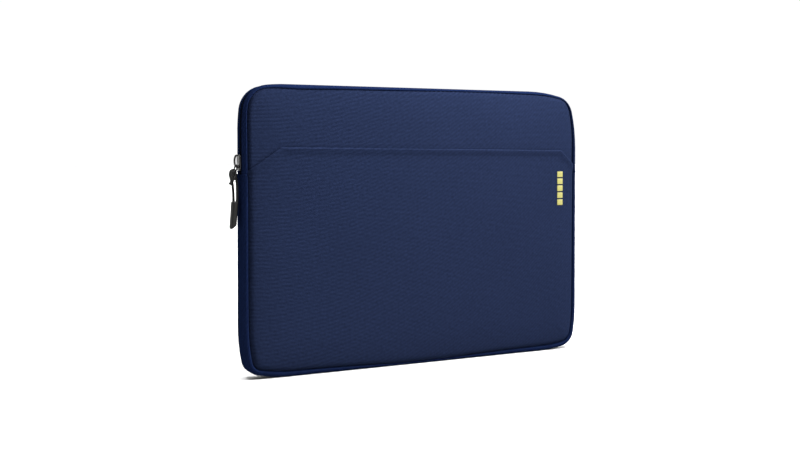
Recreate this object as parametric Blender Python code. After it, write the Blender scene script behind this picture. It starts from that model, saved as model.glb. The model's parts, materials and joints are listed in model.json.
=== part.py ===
"""Padded laptop sleeve that stands on its long edge: two quilted panels joined by a padded gusset,
a zip from one side over the top to the other, a slip pocket on the front and a cord zip pull.

Frame: +X along the width, the pocket faces -Y, +Z is up. The origin is at the middle of the bottom edge.
"""

import math

import bmesh
import bpy

MM = 0.001

# Overall size
WIDTH = 340 * MM
HEIGHT = 247 * MM
FACE_Y = 9.6 * MM             # the front and back panels' outer faces
LAP = 0.3 * MM                # gap that touching pieces keep

# Each corner is a main arc between two slow lead-in arcs: (side, top or bottom) has the lead-in's angle
# in degrees and the main arc's radius
LEAD_RADIUS = 150 * MM
LEAD_STEPS = 2
MAIN_STEPS = 5
CORNERS = {
    (1, -1): (10.0, 16 * MM),
    (1, 1): (13.5, 20 * MM),
    (-1, 1): (6.5, 23 * MM),
    (-1, -1): (11.5, 14 * MM),
}

# Layers, from the outside in
FABRIC = 0.8 * MM
FOAM = 3.0 * MM
LINING = 0.6 * MM
POCKET_AIR = 0.5 * MM         # the empty pocket lies this far off the panel behind it

# Gusset: a band round the edge, crowned where it turns in to the panels
GUSSET_FLAT = 5.0 * MM        # half the width of its flat middle
PANEL_INSET = 4.2 * MM        # the panels' edges, in from the overall outline
FOAM_INSET = 6.8 * MM
LINING_INSET = 5.2 * MM
GUSSET_FOAM = 2.0 * MM
GUSSET_LINING = 0.5 * MM
GUSSET_FILL_Y = 4.9 * MM      # half the width of the gusset's foam and lining
BINDING_INSETS = (5.1 * MM, 6.5 * MM)
BINDING_THICK = 1.2 * MM
BACK_STRIP_STEP = 0.8 * MM    # the back zip strip sits this much further in than the front one
STRIP_LINING_INSET = 4.3 * MM
STRIP_LINING_NEAR = 2.8 * MM
STRIP_LINING_FAR = 4.9 * MM

# Mouth: the front above this line folds forward when the zip is open
MOUTH_Z = 171.4 * MM
ZIP_HALF_GAP = 4.0 * MM       # half the slot between the two zip strips
TAPE_INSET = 2.0 * MM
TAPE_THICK = 0.5 * MM
TAPE_NEAR = 0.9 * MM
TAPE_FAR = 6.4 * MM
COIL_INSET = 0.5 * MM
COIL_THICK = 1.3 * MM
COIL_NEAR = 0.5 * MM
COIL_FAR = 2.4 * MM
COIL_START = 2.2 * MM         # how far above the mouth line the coils start
STOP_HEIGHT = 1.7 * MM
STOP_BEVEL = 0.25 * MM

# Pocket: its mouth runs from the left seam through two corners to the right seam, as points (x, z)
POCKET_MOUTH = [
    (-165.8 * MM, 174.6 * MM),
    (-138.5 * MM, 193.8 * MM),
    (148.0 * MM, 191.5 * MM),
    (165.8 * MM, 177.0 * MM),
]
LIP_Z = 177.5 * MM            # the pocket's lip bends outwards above this line
POCKET_Y = -FACE_Y - POCKET_AIR - FABRIC

# Zip slider, on the left side of the gusset
SLIDER_Z = 180.8 * MM
SLIDER_LENGTH = 13.0 * MM
SLIDER_WIDTH = 9.0 * MM
PLATE = 1.0 * MM
PLATE_BEVEL = 0.3 * MM
OUTER_PLATE_INSET = -1.3 * MM
INNER_PLATE_INSET = 2.9 * MM
POST_HALF_WIDTH = 0.2 * MM    # the blade between the plates, which parts the teeth
POST_SPAN = (0.8 * MM, 3.4 * MM)
FLANGE_Y = (2.9 * MM, 3.6 * MM)
FLANGE_END = 0.5 * MM
FLANGE_DEPTH = 0.25 * MM
CROWN_TOP = 5.4 * MM          # how far the crown stands off the gusset
CROWN_WIDTH = 2.4 * MM
CROWN_STRAP = 1.1 * MM
CROWN_HALF_LENGTH = 5.9 * MM
CROWN_STEPS = 12
CROWN_FULLNESS = 0.7          # under 1 makes the arch fuller than an ellipse
SIDE_X = -WIDTH / 2

# Zip pull: a wire link, then a cord loop that ends in a moulded grip
LINK_PIVOT = (-173.0 * MM, 0.0, 179.0 * MM)
LINK_END = (-175.5 * MM, 0.0, 168.4 * MM)
LINK_WIRE = 1.3 * MM
LINK_HALF_WIDTH = 2.9 * MM
LINK_CORNER = 0.9 * MM
CORD_DIAMETER = 2.0 * MM
GRIP_TOP = (-174.0 * MM, 0.0, 148.2 * MM)
GRIP_BOTTOM = (-175.0 * MM, 0.0, 125.8 * MM)
GRIP_WIDTH = 7.4 * MM
GRIP_THICK = 4.2 * MM
GRIP_SLANT = 3.0 * MM         # its outer side reaches this much lower than its inner side
GRIP_BEVEL = 1.0 * MM
CORD_ROUTE = [
    (-174.7, 2.3, 148.4), (-174.8, 2.3, 152.8), (-175.2, 2.1, 158.8), (-176.0, 1.4, 163.6),
    (-177.0, 0.8, 166.2), (-177.7, 0.5, 168.4), (-177.2, 0.3, 170.1), (-175.5, 0.0, 170.8),
    (-173.9, -0.3, 170.1), (-173.3, -0.5, 168.4), (-173.1, -0.8, 166.2), (-173.0, -1.4, 163.2),
    (-173.1, -2.1, 157.8), (-173.2, -2.3, 152.8), (-173.3, -2.3, 148.4),
]

# Printed mark on the pocket
MARK_X = 147.2 * MM
MARK_WIDTH = 6.4 * MM
MARK_LOW = 139.0 * MM
MARK_HIGH = 171.0 * MM
MARK_THICK = 0.25 * MM
MARK_GAP = 0.1 * MM


# ---------------------------------------------------------------- scene and materials

def clear_scene():
    for obj in list(bpy.data.objects):
        bpy.data.objects.remove(obj, do_unlink=True)


def collection(name):
    made = bpy.data.collections.new(name)
    bpy.context.scene.collection.children.link(made)
    return made


def material(name, colour, roughness, metallic=0.0):
    made = bpy.data.materials.new(name)
    made.use_nodes = True
    shader = made.node_tree.nodes["Principled BSDF"]
    shader.inputs["Base Color"].default_value = (*colour, 1.0)
    shader.inputs["Roughness"].default_value = roughness
    shader.inputs["Metallic"].default_value = metallic
    return made


def place(obj, finish, parent=None):
    """Puts a new object in the sleeve's collection, with its material and its parent."""
    SLEEVE.objects.link(obj)
    obj.data.materials.append(MATERIALS[finish])
    if parent:
        obj.parent = parent
        obj.matrix_parent_inverse = parent.matrix_world.inverted()
    return obj


def pivot(name, where, parent=None):
    """An empty on a joint's axis, which the moving pieces are parented to."""
    empty = bpy.data.objects.new(name, None)
    empty.empty_display_size = 0.01
    empty.location = where
    SLEEVE.objects.link(empty)
    bpy.context.view_layer.update()
    if parent:
        empty.parent = parent
        empty.matrix_parent_inverse = parent.matrix_world.inverted()
        bpy.context.view_layer.update()
    return empty


# ---------------------------------------------------------------- outlines in the X-Z plane

def corner(side, end):
    """Stations round one corner, from the long edge to the side: (x, z, outward x, outward z)."""
    lead, radius = CORNERS[side, end]
    lead = math.radians(lead)
    half_turn = math.pi / 2
    arcs = (
        (LEAD_RADIUS, 0.0, lead, LEAD_STEPS),
        (radius, lead, half_turn - lead, MAIN_STEPS),
        (LEAD_RADIUS, half_turn - lead, half_turn, LEAD_STEPS),
    )
    along, drop = 0.0, 0.0
    spots = [(0.0, 0.0, 0.0)]
    for arc_radius, first, last, steps in arcs:
        for step in range(1, steps + 1):
            angle = first + (last - first) * step / steps
            reach = along + arc_radius * (math.sin(angle) - math.sin(first))
            spots.append((reach, drop + arc_radius * (math.cos(first) - math.cos(angle)), angle))
        along, drop = spots[-1][:2]
    stations = []
    for reach, fall, angle in spots:
        x = side * (WIDTH / 2 - along + reach)
        z = HEIGHT - fall if end > 0 else fall
        stations.append((x, z, side * math.sin(angle), end * math.cos(angle)))
    return stations


def sleeve_outline(inset):
    """The sleeve's outline, brought in by inset: points (x, z), counter-clockwise from -Y."""
    loop = corner(1, -1) + corner(1, 1)[::-1] + corner(-1, 1) + corner(-1, -1)[::-1]
    return [(x - inset * out_x, z - inset * out_z) for x, z, out_x, out_z in loop]


def clipped(points, inside, crossing):
    """A convex outline cut by one line: inside tells a point's side, crossing gives a cut point."""
    kept = []
    for here, after in zip(points, points[1:] + points[:1]):
        if inside(here):
            kept.append(here)
        if inside(here) != inside(after):
            kept.append(crossing(here, after))
    return kept


def cut_by(points, normal, offset):
    """Keeps the part of the outline where normal . point <= offset."""
    def depth(p):
        return normal[0] * p[0] + normal[1] * p[1] - offset

    def crossing(a, b):
        share = depth(a) / (depth(a) - depth(b))
        return (a[0] + share * (b[0] - a[0]), a[1] + share * (b[1] - a[1]))

    return clipped(points, lambda p: depth(p) <= 0, crossing)


def below(points, z):
    return cut_by(points, (0, 1), z)


def above(points, z):
    return cut_by(points, (0, -1), -z)


def pocket_outline():
    """The panel's outline under the pocket's mouth, with its two chamfers."""
    points = sleeve_outline(PANEL_INSET)
    for start, end in zip(POCKET_MOUTH, POCKET_MOUTH[1:]):
        normal = (start[1] - end[1], end[0] - start[0])
        points = cut_by(points, normal, normal[0] * start[0] + normal[1] * start[1])
    return points


# ---------------------------------------------------------------- makers

def flat_piece(name, points, y_front, y_back, finish, parent=None):
    """A flat outline in the X-Z plane, filled and thickened between two y values."""
    data = bpy.data.curves.new(name, "CURVE")
    data.dimensions = "2D"
    data.fill_mode = "BOTH"
    data.extrude = (y_back - y_front) / 2
    spline = data.splines.new("POLY")
    spline.points.add(len(points) - 1)
    for point, (x, z) in zip(spline.points, points):
        point.co = (x, z, 0, 1)
    spline.use_cyclic_u = True
    obj = bpy.data.objects.new(name, data)
    obj.rotation_euler = (math.radians(90), 0, 0)
    obj.location = (0, (y_front + y_back) / 2, 0)
    return place(obj, finish, parent)


def path_over(z):
    """Stations from the left side at height z, over the top, to the right side at z."""
    return [(-WIDTH / 2, z, -1.0, 0.0)] + corner(-1, 1)[::-1] + corner(1, 1) + [(WIDTH / 2, z, 1.0, 0.0)]


def path_under(z):
    """Stations from the left side at height z, under the bottom, to the right side at z."""
    return [(-WIDTH / 2, z, -1.0, 0.0)] + corner(-1, -1)[::-1] + corner(1, -1) + [(WIDTH / 2, z, 1.0, 0.0)]


def band(name, profile, stations, finish, parent=None, closed=False):
    """A closed profile of (y, inset) points, carried round the edge through the stations."""
    mesh = bpy.data.meshes.new(name)
    bm = bmesh.new()
    rings = []
    for x, z, out_x, out_z in stations:
        rings.append([bm.verts.new((x - inset * out_x, y, z - inset * out_z)) for y, inset in profile])
    count = len(profile)
    following = rings[1:] + (rings[:1] if closed else [])
    for ring, after in zip(rings, following):
        for i in range(count):
            j = (i + 1) % count
            bm.faces.new((ring[i], ring[j], after[j], after[i]))
    if not closed:
        bm.faces.new(rings[0])
        bm.faces.new(rings[-1])
    bmesh.ops.recalc_face_normals(bm, faces=bm.faces)
    bm.to_mesh(mesh)
    bm.free()
    mesh.shade_smooth()
    mesh.set_sharp_from_angle(angle=math.radians(35))
    return place(bpy.data.objects.new(name, mesh), finish, parent)


def crowned(depth, side=0):
    """Points (y, inset) of the gusset's crown at a depth under its outer face. side -1 or 1 gives
    only the front or back part, from the zip slot outwards."""
    steps = 4
    step_in = BACK_STRIP_STEP if side > 0 else 0.0
    reach_y = FACE_Y - GUSSET_FLAT - depth
    reach_in = PANEL_INSET - LAP - depth - step_in
    curve = []
    for step in range(steps + 1):
        angle = math.radians(90 * step / steps)
        y = GUSSET_FLAT + reach_y * math.sin(angle)
        curve.append((y, depth + step_in + reach_in * (1 - math.cos(angle))))
    if side:
        return [(side * ZIP_HALF_GAP, depth + step_in)] + [(side * y, inset) for y, inset in curve]
    return [(-y, inset) for y, inset in reversed(curve)] + curve


def crowned_profile(outer, thick, side=0):
    """The closed section of a fabric band between two depths."""
    return crowned(outer, side) + list(reversed(crowned(outer + thick, side)))


def strip_profile(y_a, y_b, inset, thick):
    return [(y_a, inset), (y_b, inset), (y_b, inset + thick), (y_a, inset + thick)]


def tube(name, points, diameter, finish, parent=None, cyclic=False):
    """A wire or cord along a smooth curve through the points."""
    data = bpy.data.curves.new(name, "CURVE")
    data.dimensions = "3D"
    data.bevel_depth = diameter / 2
    data.bevel_resolution = 2
    data.use_fill_caps = not cyclic
    smooth = smooth_through(points, cyclic)
    spline = data.splines.new("POLY")
    spline.points.add(len(smooth) - 1)
    for point, spot in zip(spline.points, smooth):
        point.co = (*spot, 1)
    spline.use_cyclic_u = cyclic
    return place(bpy.data.objects.new(name, data), finish, parent)


def smooth_through(points, cyclic=False, between=3):
    """Points along a Catmull-Rom curve through the given points."""
    count = len(points)

    def at(i):
        return points[i % count] if cyclic else points[min(max(i, 0), count - 1)]

    smooth = []
    for i in range(count if cyclic else count - 1):
        for step in range(between):
            t = step / between
            weights = (
                -0.5 * t + t * t - 0.5 * t ** 3,
                1 - 2.5 * t * t + 1.5 * t ** 3,
                0.5 * t + 2 * t * t - 1.5 * t ** 3,
                -0.5 * t * t + 0.5 * t ** 3,
            )
            near = [at(i + k) for k in (-1, 0, 1, 2)]
            smooth.append(tuple(sum(w * p[axis] for w, p in zip(weights, near)) for axis in range(3)))
    if not cyclic:
        smooth.append(points[-1])
    return smooth


def box_mesh(name, low, high, bevel=0.0):
    """A box between two corners, with bevelled edges, as a loose object."""
    mesh = bpy.data.meshes.new(name)
    bm = bmesh.new()
    bmesh.ops.create_cube(bm, size=1.0)
    for vert in bm.verts:
        vert.co = [low[k] + (vert.co[k] + 0.5) * (high[k] - low[k]) for k in range(3)]
    if bevel:
        bmesh.ops.bevel(bm, geom=bm.edges, offset=bevel, segments=2, affect="EDGES", profile=0.5)
    bm.to_mesh(mesh)
    bm.free()
    return bpy.data.objects.new(name, mesh)


def joined(body, others):
    """Adds the other closed shapes to the body with Boolean unions."""
    for other in others:
        CUTTERS.objects.link(other)
        other.hide_render = True
        other.display_type = "WIRE"
        union = body.modifiers.new("join_" + other.name, "BOOLEAN")
        union.operation = "UNION"
        union.solver = "EXACT"
        union.object = other
    return body


# ---------------------------------------------------------------- panels

def layered_panel(side, part, keep, parent=None):
    """Fabric, foam and lining of one panel. side is -1 for the front and 1 for the back."""
    suffix = f"_{part}" if part else ""
    name = "front" if side < 0 else "back"
    layers = (
        ("panel", 0.0, FABRIC, PANEL_INSET, "fabric"),
        ("foam", FABRIC + LAP, FOAM, FOAM_INSET, "foam"),
        ("lining", FABRIC + FOAM + 2 * LAP, LINING, LINING_INSET, "lining"),
    )
    for layer, depth, thick, inset, finish in layers:
        ends = sorted((side * (FACE_Y - depth), side * (FACE_Y - depth - thick)))
        outline = keep(sleeve_outline(inset))
        flat_piece(f"{name}_{layer}{suffix}", outline, ends[0], ends[1], finish, parent)


def seam_binding(name, side, stations, parent=None, closed=False):
    """The tape that binds the raw seam edges inside, between the gusset and the foam."""
    outer = side * (FACE_Y - FABRIC - LAP)
    inner = side * (FACE_Y - FABRIC - LAP - BINDING_THICK)
    edge, far = BINDING_INSETS
    profile = [(outer, edge), (outer, far), (inner, far), (inner, edge)]
    band(name, profile, stations, "binding", parent, closed)


def pocket(parent_mouth, parent_lip):
    outline = pocket_outline()
    parts = (
        ("pocket_panel_lower", below(outline, MOUTH_Z - LAP / 2), None),
        ("pocket_panel_upper", below(above(outline, MOUTH_Z + LAP / 2), LIP_Z - LAP / 2), parent_mouth),
        ("pocket_lip", above(outline, LIP_Z + LAP / 2), parent_lip),
    )
    for name, points, parent in parts:
        flat_piece(name, points, POCKET_Y, POCKET_Y + FABRIC, "fabric", parent)


def pocket_mark():
    half = MARK_WIDTH / 2
    y_back = POCKET_Y - MARK_GAP
    low = (MARK_X - half, y_back - MARK_THICK, MARK_LOW)
    high = (MARK_X + half, y_back, MARK_HIGH)
    place(box_mesh("pocket_mark", low, high), "mark")


# ---------------------------------------------------------------- gusset and zip

def path_round():
    """Stations all the way round, for a band with no ends."""
    return path_over(MOUTH_Z)[1:-1] + path_under(MOUTH_Z)[-2:0:-1]


def lower_gusset():
    stations = path_under(MOUTH_Z - LAP / 2)
    band("gusset_lower", crowned_profile(0.0, FABRIC), stations, "fabric_edge")
    foam_out = FABRIC + LAP
    foam = strip_profile(-GUSSET_FILL_Y, GUSSET_FILL_Y, foam_out, GUSSET_FOAM)
    band("gusset_foam", foam, stations, "foam")
    lining = strip_profile(-GUSSET_FILL_Y, GUSSET_FILL_Y, foam_out + GUSSET_FOAM + LAP, GUSSET_LINING)
    band("gusset_lining", lining, stations, "lining")


def zip_half(side, parent=None):
    """The fabric strip, its lining, the tape and the coil on one side of the zip."""
    name = "front" if side < 0 else "back"
    stations = path_over(MOUTH_Z + LAP / 2)
    band(f"{name}_zip_strip", crowned_profile(0.0, FABRIC, side), stations, "fabric_edge", parent)
    near, far = side * STRIP_LINING_NEAR, side * STRIP_LINING_FAR
    lining = strip_profile(near, far, STRIP_LINING_INSET, GUSSET_LINING)
    band(f"{name}_strip_lining", lining, stations, "lining", parent)
    tape = strip_profile(side * TAPE_NEAR, side * TAPE_FAR, TAPE_INSET, TAPE_THICK)
    band(f"{name}_zip_tape", tape, stations, "tape", parent)
    coil = strip_profile(side * COIL_NEAR, side * COIL_FAR, COIL_INSET, COIL_THICK)
    band(f"{name}_zip_coil", coil, path_over(MOUTH_Z + COIL_START), "coil", parent)


def zip_stops():
    """The stops that close off both ends of the zip, just above the lower gusset."""
    for name, side in (("zip_stop_left", -1), ("zip_stop_right", 1)):
        near = side * (WIDTH / 2 - COIL_INSET - COIL_THICK)
        far = side * (WIDTH / 2 - COIL_INSET)
        low = (min(near, far), -COIL_FAR, MOUTH_Z + LAP / 2)
        high = (max(near, far), COIL_FAR, MOUTH_Z + STOP_HEIGHT)
        place(box_mesh(name, low, high, STOP_BEVEL), "metal")


# ---------------------------------------------------------------- slider and pull

def slider(parent):
    half_w = SLIDER_WIDTH / 2
    low_z = SLIDER_Z - SLIDER_LENGTH / 2
    high_z = SLIDER_Z + SLIDER_LENGTH / 2
    outer_x = SIDE_X + OUTER_PLATE_INSET
    inner_x = SIDE_X + INNER_PLATE_INSET
    outer_high = (outer_x + PLATE, half_w, high_z)
    inner_high = (inner_x + PLATE, half_w, high_z)
    body = box_mesh("slider_body", (outer_x, -half_w, low_z), outer_high, PLATE_BEVEL)
    others = [box_mesh("slider_inner", (inner_x, -half_w, low_z), inner_high, PLATE_BEVEL)]
    post_low = (outer_x + PLATE / 2, -POST_HALF_WIDTH, low_z + POST_SPAN[0])
    post_high = (inner_x + PLATE / 2, POST_HALF_WIDTH, low_z + POST_SPAN[1])
    others.append(box_mesh("slider_post", post_low, post_high))
    for side in (-1, 1):
        edge = sorted(side * y for y in FLANGE_Y)
        flange_low = (outer_x + PLATE / 2, edge[0], low_z + FLANGE_END)
        flange_high = (SIDE_X + FLANGE_DEPTH, edge[1], high_z - FLANGE_END)
        others.append(box_mesh(f"slider_flange_{side}", flange_low, flange_high))
    place(joined(body, others), "metal", parent)
    crown(parent, outer_x)


def crown(parent, outer_x):
    """The bail that the pull link hangs in: a strap arched over the slider's outer plate."""
    foot_x = outer_x - LAP
    rise = foot_x - (SIDE_X - CROWN_TOP)
    outline = []
    for thinner, direction in ((0.0, 1), (CROWN_STRAP, -1)):
        arc = []
        for step in range(CROWN_STEPS + 1):
            angle = math.pi * step / CROWN_STEPS
            x = foot_x - (rise - thinner) * math.sin(angle) ** CROWN_FULLNESS
            arc.append((x, SLIDER_Z + (CROWN_HALF_LENGTH - thinner) * math.cos(angle)))
        outline += arc[::direction]
    flat_piece("slider_crown", outline, -CROWN_WIDTH / 2, CROWN_WIDTH / 2, "metal", parent)


def pull_link(parent):
    """A closed wire link that passes under the crown and carries the cord."""
    corners = []
    for side, end in ((-1, LINK_PIVOT), (-1, LINK_END), (1, LINK_END), (1, LINK_PIVOT)):
        corners.append((end[0], side * LINK_HALF_WIDTH, end[2]))
    tube("pull_link", link_path(corners), LINK_WIRE, "metal", parent, cyclic=True)


def link_path(corners):
    """The link's four corners, each cut short so that the curve rounds it."""
    path = []
    for i, corner in enumerate(corners):
        before, after = corners[i - 1], corners[(i + 1) % 4]
        for neighbour in (before, after):
            away = [neighbour[k] - corner[k] for k in range(3)]
            length = math.sqrt(sum(a * a for a in away))
            path.append(tuple(corner[k] + away[k] * LINK_CORNER / length for k in range(3)))
    return path


def pull_cord(parent):
    route = [tuple(value * MM for value in point) for point in CORD_ROUTE]
    tube("pull_cord", route, CORD_DIAMETER, "cord", parent)


def pull_grip(parent):
    """The moulded grip, with its lower end cut at a slant and rounded."""
    length = GRIP_TOP[2] - GRIP_BOTTOM[2]
    mesh = bpy.data.meshes.new("pull_grip")
    bm = bmesh.new()
    bmesh.ops.create_cube(bm, size=1.0)
    for vert in bm.verts:
        x, y, z = vert.co
        share = z + 0.5
        centre = GRIP_BOTTOM[0] + share * (GRIP_TOP[0] - GRIP_BOTTOM[0])
        drop = 0.0 if z > 0 else (x + 0.5) * GRIP_SLANT
        height = GRIP_BOTTOM[2] + share * length - LAP
        vert.co = (centre + x * GRIP_THICK, y * GRIP_WIDTH, height + drop)
    bmesh.ops.bevel(bm, geom=bm.edges, offset=GRIP_BEVEL, segments=3, affect="EDGES", profile=0.5)
    bm.to_mesh(mesh)
    bm.free()
    mesh.shade_smooth()
    place(bpy.data.objects.new("pull_grip", mesh), "grip", parent)


# ---------------------------------------------------------------- the sleeve

clear_scene()
SLEEVE = collection("laptop_sleeve")
CUTTERS = collection("cutters")
MATERIALS = {
    "fabric": material("navy_fabric", (0.024, 0.034, 0.083), 0.85),
    "fabric_edge": material("navy_fabric_edge", (0.012, 0.018, 0.045), 0.9),
    "foam": material("grey_foam", (0.25, 0.25, 0.26), 0.95),
    "lining": material("plush_lining", (0.05, 0.055, 0.07), 0.95),
    "binding": material("binding_tape", (0.02, 0.022, 0.03), 0.9),
    "tape": material("zip_tape", (0.012, 0.016, 0.035), 0.9),
    "coil": material("zip_coil", (0.015, 0.018, 0.03), 0.45),
    "metal": material("gunmetal", (0.09, 0.09, 0.1), 0.3, 1.0),
    "cord": material("black_cord", (0.012, 0.012, 0.014), 0.8),
    "grip": material("moulded_grip", (0.02, 0.02, 0.022), 0.55),
    "mark": material("yellow_print", (0.62, 0.57, 0.14), 0.6),
}

mouth_axis = pivot("mouth_axis", (0, POCKET_Y, MOUTH_Z))
lip_axis = pivot("lip_axis", (0, POCKET_Y, LIP_Z), mouth_axis)
slider_axis = pivot("slider_axis", (SIDE_X, 0, SLIDER_Z))
link_axis = pivot("link_axis", LINK_PIVOT, slider_axis)
cord_axis = pivot("cord_axis", LINK_END, link_axis)

layered_panel(1, "", lambda outline: outline)
layered_panel(-1, "lower", lambda outline: below(outline, MOUTH_Z - LAP / 2))
layered_panel(-1, "upper", lambda outline: above(outline, MOUTH_Z + LAP / 2), mouth_axis)
seam_binding("back_seam_binding", 1, path_round(), closed=True)
seam_binding("front_seam_binding_lower", -1, path_under(MOUTH_Z - LAP / 2))
seam_binding("front_seam_binding_upper", -1, path_over(MOUTH_Z + LAP / 2), mouth_axis)
pocket(mouth_axis, lip_axis)
pocket_mark()
lower_gusset()
zip_half(1)
zip_half(-1, mouth_axis)
zip_stops()
slider(slider_axis)
pull_link(link_axis)
pull_cord(cord_axis)
pull_grip(cord_axis)
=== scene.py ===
"""Looks of the padded laptop sleeve: woven navy covers over foam, a zip with separate teeth,
a cast slider with a wire link, a hitched cord and a moulded grip."""

import json
import math

import bmesh
import bpy
import numpy as np
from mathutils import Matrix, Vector, noise


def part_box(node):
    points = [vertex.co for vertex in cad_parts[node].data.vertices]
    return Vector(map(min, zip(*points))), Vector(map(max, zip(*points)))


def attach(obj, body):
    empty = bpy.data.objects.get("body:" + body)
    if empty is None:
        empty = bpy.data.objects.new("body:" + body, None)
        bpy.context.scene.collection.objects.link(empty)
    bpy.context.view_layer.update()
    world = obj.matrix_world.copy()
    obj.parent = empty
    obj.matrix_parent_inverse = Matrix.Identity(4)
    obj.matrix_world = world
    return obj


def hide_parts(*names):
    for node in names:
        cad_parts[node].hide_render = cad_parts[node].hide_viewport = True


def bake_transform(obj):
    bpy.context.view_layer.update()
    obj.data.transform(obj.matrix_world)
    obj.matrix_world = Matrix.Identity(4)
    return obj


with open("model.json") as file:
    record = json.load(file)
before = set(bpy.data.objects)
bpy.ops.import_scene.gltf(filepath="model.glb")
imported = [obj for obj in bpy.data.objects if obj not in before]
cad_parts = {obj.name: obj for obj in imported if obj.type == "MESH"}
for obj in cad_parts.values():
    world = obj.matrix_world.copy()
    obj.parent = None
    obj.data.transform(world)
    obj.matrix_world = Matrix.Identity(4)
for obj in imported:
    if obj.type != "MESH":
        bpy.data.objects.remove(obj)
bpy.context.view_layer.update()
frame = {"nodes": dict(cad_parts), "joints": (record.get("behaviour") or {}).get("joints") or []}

MM = 0.001

# ---- sizes read from the frame

GUSSET_LOW, GUSSET_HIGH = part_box("gusset_lower")
STRIP_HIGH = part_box("front_zip_strip")[1]
BACK_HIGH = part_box("back_panel")[1]
SLIDER_LOW, SLIDER_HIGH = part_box("slider_body")
GRIP_LOW, GRIP_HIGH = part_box("pull_grip")
JOINTS = {joint["name"]: joint for joint in frame["joints"]}

WIDTH = GUSSET_HIGH.x - GUSSET_LOW.x
HEIGHT = STRIP_HIGH.z
FACE = BACK_HIGH.y  # the panels' outer faces, front and back
MOUTH_Z = JOINTS["mouth_open"]["pos_m"][2]  # where the mouth folds
LIP_Z = JOINTS["pocket_open"]["pos_m"][2]  # where the pocket's lip bends out
SLOT_HALF = -STRIP_HIGH.y  # half the gap between the two zip strips
SLIDER_Z = (SLIDER_LOW.z + SLIDER_HIGH.z) / 2

# The outline's corners: (side, top or bottom) has the lead-in's angle in degrees and the main arc's radius
LEAD_RADIUS = 150 * MM
LEAD_STEPS = 4
MAIN_STEPS = 10
CORNERS = {
    (1, -1): (10.0, 16 * MM),
    (1, 1): (13.5, 20 * MM),
    (-1, 1): (6.5, 23 * MM),
    (-1, -1): (11.5, 14 * MM),
}
STRAIGHT_STEP = 5 * MM

# How far in the seam lies, in mm, at each bearing from the sleeve's middle, in degrees from +X
SEAM_WANDER = (
    (0, 4.4), (20, 4.0), (36, 2.4), (45, 3.3), (60, 2.5), (80, 2.5), (102, 3.2), (123, 3.5), (135, 4.3),
    (144, 2.4), (153, 3.6), (172, 4.3), (200, 4.4), (216, 5.2), (230, 4.5), (258, 2.4), (281, 2.4),
    (309, 4.4), (324, 5.3), (345, 4.6),
)
SEAM_BEARINGS, SEAM_INSETS = zip(*SEAM_WANDER)
GROOVE = 6.2 * MM  # how far out the seam lies, sunk between panel and gusset
TOP_GROOVE = 8.1 * MM  # it is shallower along the top
RIM_FLAT = 5.0 * MM  # half the gusset's flat middle
RIM_DEPTH = 3.5 * MM  # the gusset is this far in where it meets the panels' faces
ROLL = 1.1 * MM  # the rim rounds over into the groove


def add_object(name, data):
    obj = bpy.data.objects.new(name, data)
    bpy.context.scene.collection.objects.link(obj)
    return obj


# ---- camera, light and floor

def camera():
    """A nearly level view from the pocket side and the left."""
    azimuth, distance, height = math.radians(-29.106), 1.0022, 0.1909
    turn, tilt = azimuth + math.radians(0.958), math.radians(1.0)
    data = bpy.data.cameras.new("camera")
    data.sensor_width = 36
    data.lens = 49.94
    data.shift_y = -0.0687
    obj = add_object("camera", data)
    obj.location = (math.sin(azimuth) * distance, -math.cos(azimuth) * distance, height)
    obj.rotation_euler = (math.pi / 2 - tilt, 0, turn)
    bpy.context.scene.camera = obj


def sun(name, azimuth, elevation, spread, strength):
    """A soft distant light. Azimuth 0 shines on the pocket side, and 90 on the right side."""
    data = bpy.data.lights.new(name, "SUN")
    data.energy = strength
    data.angle = math.radians(spread)
    obj = add_object(name, data)
    turn, rise = math.radians(azimuth), math.radians(elevation)
    away = Vector((math.sin(turn) * math.cos(rise), -math.cos(turn) * math.cos(rise), math.sin(rise)))
    obj.rotation_euler = away.to_track_quat("Z", "Y").to_euler()


def softbox(name, spot, target, size, power):
    data = bpy.data.lights.new(name, "AREA")
    data.size = size
    data.energy = power
    obj = add_object(name, data)
    obj.location = spot
    obj.rotation_euler = (Vector(spot) - Vector(target)).to_track_quat("Z", "Y").to_euler()


def studio_world():
    """White near the horizon, dim overhead."""
    world = bpy.data.worlds.new("studio")
    bpy.context.scene.world = world
    world.use_nodes = True
    tree = world.node_tree
    direction = tree.nodes.new("ShaderNodeTexCoord")
    split = tree.nodes.new("ShaderNodeSeparateXYZ")
    fade = tree.nodes.new("ShaderNodeMapRange")
    fade.interpolation_type = "SMOOTHSTEP"
    for name, value in (("From Min", 0.15), ("From Max", 0.32), ("To Min", 1.02), ("To Max", 0.12)):
        fade.inputs[name].default_value = value
    tree.links.new(direction.outputs["Generated"], split.inputs["Vector"])
    tree.links.new(split.outputs["Z"], fade.inputs["Value"])
    tree.links.new(fade.outputs["Result"], tree.nodes["Background"].inputs["Strength"])
    tree.nodes["Background"].inputs["Color"].default_value = (1.0, 1.0, 1.0, 1)


def lights():
    sun("key", 58, 26, 20, 6.0)
    sun("overhead", 0, 90, 50, 8.8)
    sun("rear_fill", 160, 35, 40, 2.6)
    softbox("near_softbox", (0.14, -0.28, 0.52), (0.03, 0, 0.22), 0.22, 8)
    studio_world()
    bpy.context.scene.view_settings.view_transform = "Standard"


FLOOR_GREY = 0.42  # the lights bring this up to white
FLOOR_HALF = 12.0


def floor():
    mesh = bpy.data.meshes.new("studio_floor")
    bm = bmesh.new()
    bmesh.ops.create_grid(bm, x_segments=2, y_segments=2, size=FLOOR_HALF)
    bm.to_mesh(mesh)
    bm.free()
    obj = add_object("studio_floor", mesh)
    mesh.materials.append(Finish("floor_white", (FLOOR_GREY,) * 3, 0.9).material)


# ---- materials

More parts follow.
